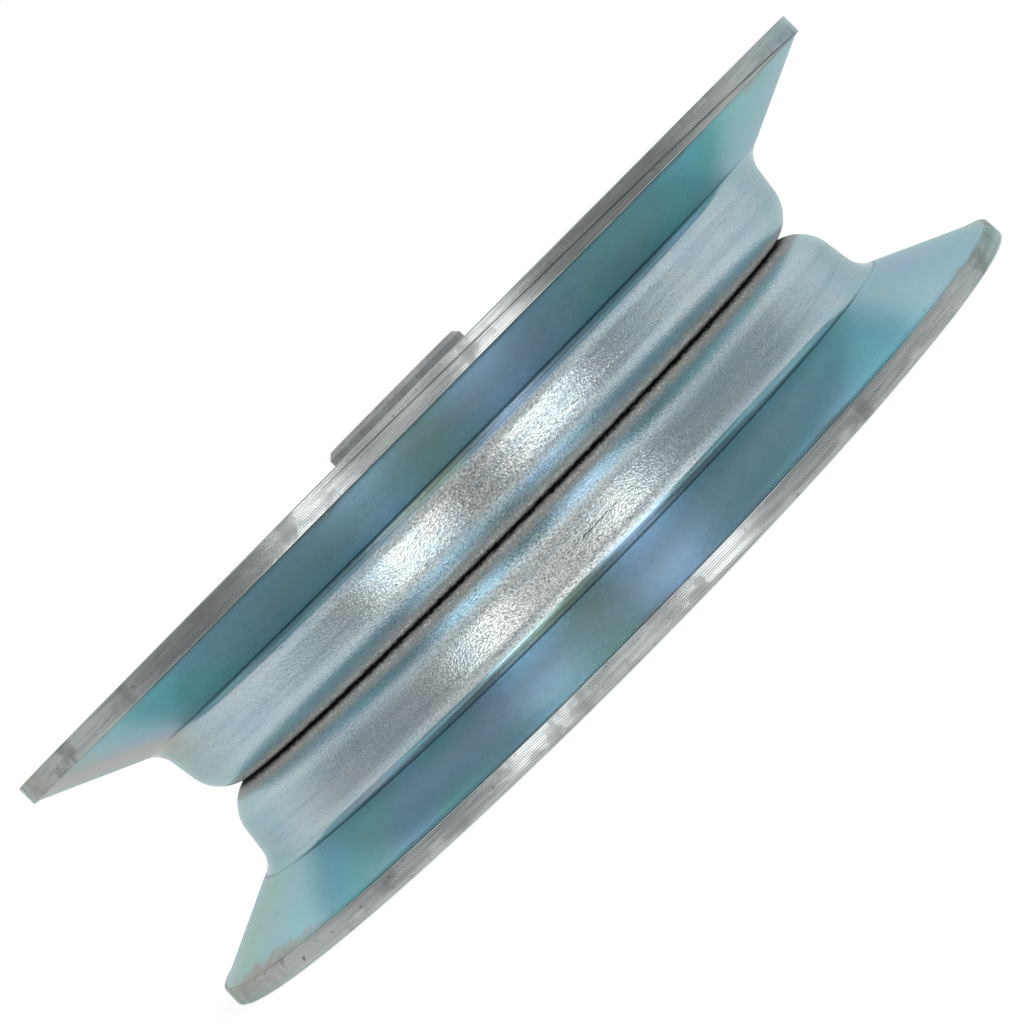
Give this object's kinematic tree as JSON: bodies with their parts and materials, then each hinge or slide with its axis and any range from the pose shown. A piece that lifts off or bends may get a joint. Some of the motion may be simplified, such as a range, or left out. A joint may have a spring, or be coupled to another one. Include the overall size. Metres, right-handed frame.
{
  "type": "deck pulley",
  "caption": "Pressed-steel V idler pulley for a mower deck belt: zinc-plated sheave halves riveted around a sealed ball bearing on a bolt-through spacer sleeve.",
  "frame": {"origin": "on the spin axis, at the seam of the sheave halves, which is the middle of the groove", "axes": "+Z along the spin axis, towards the end of the spacer sleeve that stands out of the rim"},
  "size_m": [0.1142, 0.1142, 0.0337],
  "materials": {
    "zinc_plated_sheet": "clear blue zinc plating, satin",
    "rivet_steel": "zinc plated",
    "sintered_steel": "matte, fine grain",
    "bearing_steel": "ground",
    "ball_steel": "polished",
    "cage_steel": "pressed strip",
    "seal_rubber": "moulded, matte"
  },
  "bodies": {
    "hub": {"spacer_sleeve": "sintered_steel", "bearing_inner_ring": "bearing_steel"},
    "sheave": {"upper_sheave_half": "zinc_plated_sheet", "lower_sheave_half": "zinc_plated_sheet", "sheave_rivets": "rivet_steel", "bearing_outer_ring": "bearing_steel", "upper_bearing_seal": "seal_rubber", "lower_bearing_seal": "seal_rubber"},
    "cage": {"upper_cage_half": "cage_steel", "lower_cage_half": "cage_steel", "cage_rivets": "cage_steel"},
    "ball_1": {"bearing_ball_1": "ball_steel"},
    "ball_2": {"bearing_ball_2": "ball_steel"},
    "ball_3": {"bearing_ball_3": "ball_steel"},
    "ball_4": {"bearing_ball_4": "ball_steel"},
    "ball_5": {"bearing_ball_5": "ball_steel"},
    "ball_6": {"bearing_ball_6": "ball_steel"},
    "ball_7": {"bearing_ball_7": "ball_steel"},
    "ball_8": {"bearing_ball_8": "ball_steel"}
  },
  "joints": [
    {"name": "sheave_spin", "type": "hinge", "parent": "hub", "child": "sheave", "pos_m": [0, 0, 0], "axis": [0, 0, 1], "continuous": true},
    {"name": "cage_orbit", "type": "hinge", "parent": "hub", "child": "cage", "pos_m": [0, 0, 0], "axis": [0, 0, 1], "continuous": true},
    {"name": "ball_1_roll", "type": "hinge", "parent": "cage", "child": "ball_1", "pos_m": [0.01425, 0, 0], "axis": [0, 0, 1], "continuous": true},
    {"name": "ball_2_roll", "type": "hinge", "parent": "cage", "child": "ball_2", "pos_m": [0.01008, 0.01008, 0], "axis": [0, 0, 1], "continuous": true},
    {"name": "ball_3_roll", "type": "hinge", "parent": "cage", "child": "ball_3", "pos_m": [0, 0.01425, 0], "axis": [0, 0, 1], "continuous": true},
    {"name": "ball_4_roll", "type": "hinge", "parent": "cage", "child": "ball_4", "pos_m": [-0.01008, 0.01008, 0], "axis": [0, 0, 1], "continuous": true},
    {"name": "ball_5_roll", "type": "hinge", "parent": "cage", "child": "ball_5", "pos_m": [-0.01425, 0, 0], "axis": [0, 0, 1], "continuous": true},
    {"name": "ball_6_roll", "type": "hinge", "parent": "cage", "child": "ball_6", "pos_m": [-0.01008, -0.01008, 0], "axis": [0, 0, 1], "continuous": true},
    {"name": "ball_7_roll", "type": "hinge", "parent": "cage", "child": "ball_7", "pos_m": [0, -0.01425, 0], "axis": [0, 0, 1], "continuous": true},
    {"name": "ball_8_roll", "type": "hinge", "parent": "cage", "child": "ball_8", "pos_m": [0.01008, -0.01008, 0], "axis": [0, 0, 1], "continuous": true}
  ],
  "couplings": [
    {"joint": "cage_orbit", "follows": "sheave_spin", "ratio": 0.61837},
    {"joint": "ball_1_roll", "follows": "sheave_spin", "ratio": 1.9937},
    {"joint": "ball_2_roll", "follows": "sheave_spin", "ratio": 1.9937},
    {"joint": "ball_3_roll", "follows": "sheave_spin", "ratio": 1.9937},
    {"joint": "ball_4_roll", "follows": "sheave_spin", "ratio": 1.9937},
    {"joint": "ball_5_roll", "follows": "sheave_spin", "ratio": 1.9937},
    {"joint": "ball_6_roll", "follows": "sheave_spin", "ratio": 1.9937},
    {"joint": "ball_7_roll", "follows": "sheave_spin", "ratio": 1.9937},
    {"joint": "ball_8_roll", "follows": "sheave_spin", "ratio": 1.9937}
  ]
}
